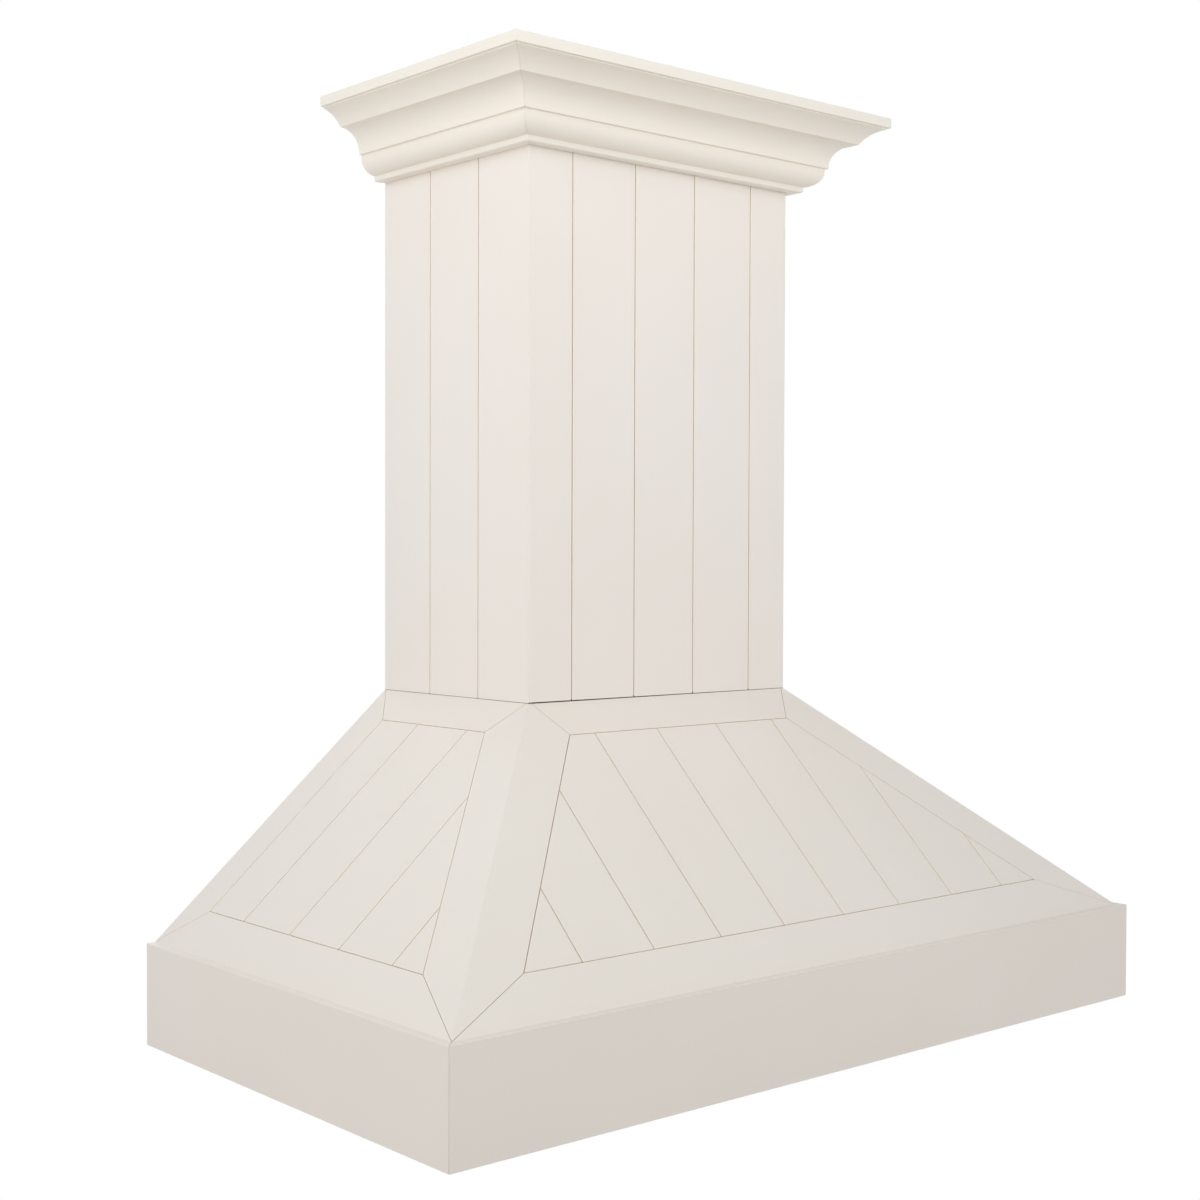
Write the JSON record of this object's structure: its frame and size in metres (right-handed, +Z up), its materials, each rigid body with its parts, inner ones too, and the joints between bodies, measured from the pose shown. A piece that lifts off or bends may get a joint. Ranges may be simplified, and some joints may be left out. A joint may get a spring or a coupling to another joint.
{
  "type": "range hood",
  "caption": "Wall-mounted range hood: painted shiplap canopy and chimney with a crown moulding, over a steel insert with baffle filters, lights, keys, blower and duct collar.",
  "frame": {"origin": "on the wall plane, at the middle of the hood's width, level with its lower edge", "axes": "+X to the right of someone facing the hood, +Y into the wall, +Z up"},
  "size_m": [0.914, 0.5, 0.954],
  "materials": {
    "painted_wood": "warm white satin paint, sprayed over primed poplar",
    "bare_pine": "planed, unpainted",
    "plywood": "sanded, unpainted",
    "brushed_steel": "brushed along the hood's width",
    "baffle_steel": "fine brushed stainless",
    "zinc_steel": "hot-dip galvanised sheet",
    "zinc_screws": "bright zinc plated",
    "satin_chrome": "satin chrome plate",
    "smoked_glass": "polished, smoked",
    "circuit_board": "solder-masked laminate",
    "lamp_aluminium": "satin anodised",
    "opal_diffuser": "opal acrylic",
    "motor_enamel": "black enamel",
    "shaft_steel": "ground steel",
    "flap_aluminium": "mill-finish sheet"
  },
  "bodies": {
    "shell": {"apron_front": "painted_wood", "apron_left": "painted_wood", "apron_right": "painted_wood", "front_slope_rails": "painted_wood", "front_slope_stiles": "painted_wood", "front_slope_boards": "painted_wood", "left_slope_rails": "painted_wood", "left_slope_stiles": "painted_wood", "left_slope_boards": "painted_wood", "right_slope_rails": "painted_wood", "right_slope_stiles": "painted_wood", "right_slope_boards": "painted_wood", "chimney_front_boards": "painted_wood", "chimney_left_boards": "painted_wood", "chimney_right_boards": "painted_wood", "crown_front": "painted_wood", "crown_left": "painted_wood", "crown_right": "painted_wood", "canopy_ledgers": "bare_pine", "chimney_battens": "bare_pine", "crown_blocks": "bare_pine", "apron_back": "plywood", "chimney_back_rails": "plywood", "upper_hanging_rail": "plywood", "insert_tray": "brushed_steel", "plenum_hopper": "zinc_steel", "blower_housing": "zinc_steel", "scroll_casing": "zinc_steel", "duct_collar": "zinc_steel", "motor_bracket": "zinc_steel", "mains_box": "zinc_steel", "mains_cover": "zinc_steel", "tray_screws": "zinc_screws", "housing_screws": "zinc_screws", "damper_rods": "zinc_screws", "display_window": "smoked_glass", "control_board": "circuit_board", "lamp_housings": "lamp_aluminium", "lamp_lenses": "opal_diffuser", "motor": "motor_enamel"},
    "filter_left": {"filter_left_frame": "baffle_steel", "filter_left_baffles": "baffle_steel"},
    "latch_left": {"filter_left_latch": "satin_chrome"},
    "filter_centre": {"filter_centre_frame": "baffle_steel", "filter_centre_baffles": "baffle_steel"},
    "latch_centre": {"filter_centre_latch": "satin_chrome"},
    "filter_right": {"filter_right_frame": "baffle_steel", "filter_right_baffles": "baffle_steel"},
    "latch_right": {"filter_right_latch": "satin_chrome"},
    "key_power": {"button_power": "satin_chrome"},
    "key_light": {"button_light": "satin_chrome"},
    "key_slower": {"button_slower": "satin_chrome"},
    "key_faster": {"button_faster": "satin_chrome"},
    "key_timer": {"button_timer": "satin_chrome"},
    "fan": {"fan_wheel": "zinc_steel", "motor_shaft": "shaft_steel"},
    "flap_front": {"damper_flap_front": "flap_aluminium"},
    "flap_back": {"damper_flap_back": "flap_aluminium"}
  },
  "joints": [
    {"name": "filter_left_drop", "type": "hinge", "parent": "shell", "child": "filter_left", "pos_m": [-0.262, -0.068, 0.0152], "axis": [1, 0, 0], "range_deg": [0, 60]},
    {"name": "latch_left_draw", "type": "slide", "parent": "filter_left", "child": "latch_left", "axis": [0, 1, 0], "range_m": [0, 0.007], "stiffness_N_per_m": 250},
    {"name": "filter_centre_drop", "type": "hinge", "parent": "shell", "child": "filter_centre", "pos_m": [0, -0.068, 0.0152], "axis": [1, 0, 0], "range_deg": [0, 60]},
    {"name": "latch_centre_draw", "type": "slide", "parent": "filter_centre", "child": "latch_centre", "axis": [0, 1, 0], "range_m": [0, 0.007], "stiffness_N_per_m": 250},
    {"name": "filter_right_drop", "type": "hinge", "parent": "shell", "child": "filter_right", "pos_m": [0.262, -0.068, 0.0152], "axis": [1, 0, 0], "range_deg": [0, 60]},
    {"name": "latch_right_draw", "type": "slide", "parent": "filter_right", "child": "latch_right", "axis": [0, 1, 0], "range_m": [0, 0.007], "stiffness_N_per_m": 250},
    {"name": "power_press", "type": "slide", "parent": "shell", "child": "key_power", "axis": [0, 0, 1], "range_m": [0, 0.002], "stiffness_N_per_m": 400},
    {"name": "light_press", "type": "slide", "parent": "shell", "child": "key_light", "axis": [0, 0, 1], "range_m": [0, 0.002], "stiffness_N_per_m": 400},
    {"name": "slower_press", "type": "slide", "parent": "shell", "child": "key_slower", "axis": [0, 0, 1], "range_m": [0, 0.002], "stiffness_N_per_m": 400},
    {"name": "faster_press", "type": "slide", "parent": "shell", "child": "key_faster", "axis": [0, 0, 1], "range_m": [0, 0.002], "stiffness_N_per_m": 400},
    {"name": "timer_press", "type": "slide", "parent": "shell", "child": "key_timer", "axis": [0, 0, 1], "range_m": [0, 0.002], "stiffness_N_per_m": 400},
    {"name": "fan_spin", "type": "hinge", "parent": "shell", "child": "fan", "pos_m": [0, -0.16525, 0.196], "axis": [1, 0, 0], "continuous": true},
    {"name": "flap_front_lift", "type": "hinge", "parent": "shell", "child": "flap_front", "pos_m": [0, -0.12425, 0.302], "axis": [-1, 0, 0], "range_deg": [0, 78]},
    {"name": "flap_back_lift", "type": "hinge", "parent": "shell", "child": "flap_back", "pos_m": [0, -0.11425, 0.302], "axis": [1, 0, 0], "range_deg": [0, 78]}
  ]
}
